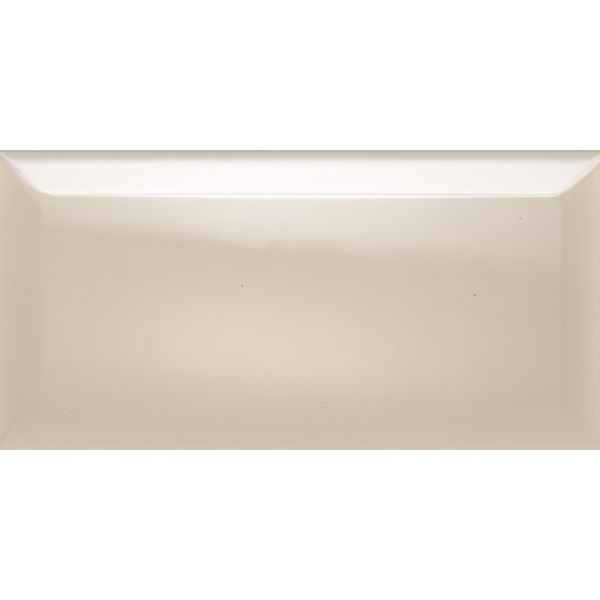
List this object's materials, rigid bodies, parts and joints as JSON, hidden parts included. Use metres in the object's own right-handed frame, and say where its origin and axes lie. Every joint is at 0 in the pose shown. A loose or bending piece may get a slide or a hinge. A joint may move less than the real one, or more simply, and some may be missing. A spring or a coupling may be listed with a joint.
{
  "type": "bevelled subway wall tile",
  "caption": "Oblong glossy beige wall tile with a flat field, a bevelled border and a keyed back for adhesive.",
  "frame": {"origin": "middle of the keyed back, where the tile beds on the wall or lies on a floor", "axes": "+X along the tile's length, +Y across it towards the upper long edge of the picture, +Z out of the glazed face"},
  "size_m": [0.1492, 0.073, 0.0085],
  "materials": {
    "glaze": "gloss"
  },
  "bodies": {
    "root": {"tile": "glaze"}
  },
  "joints": []
}
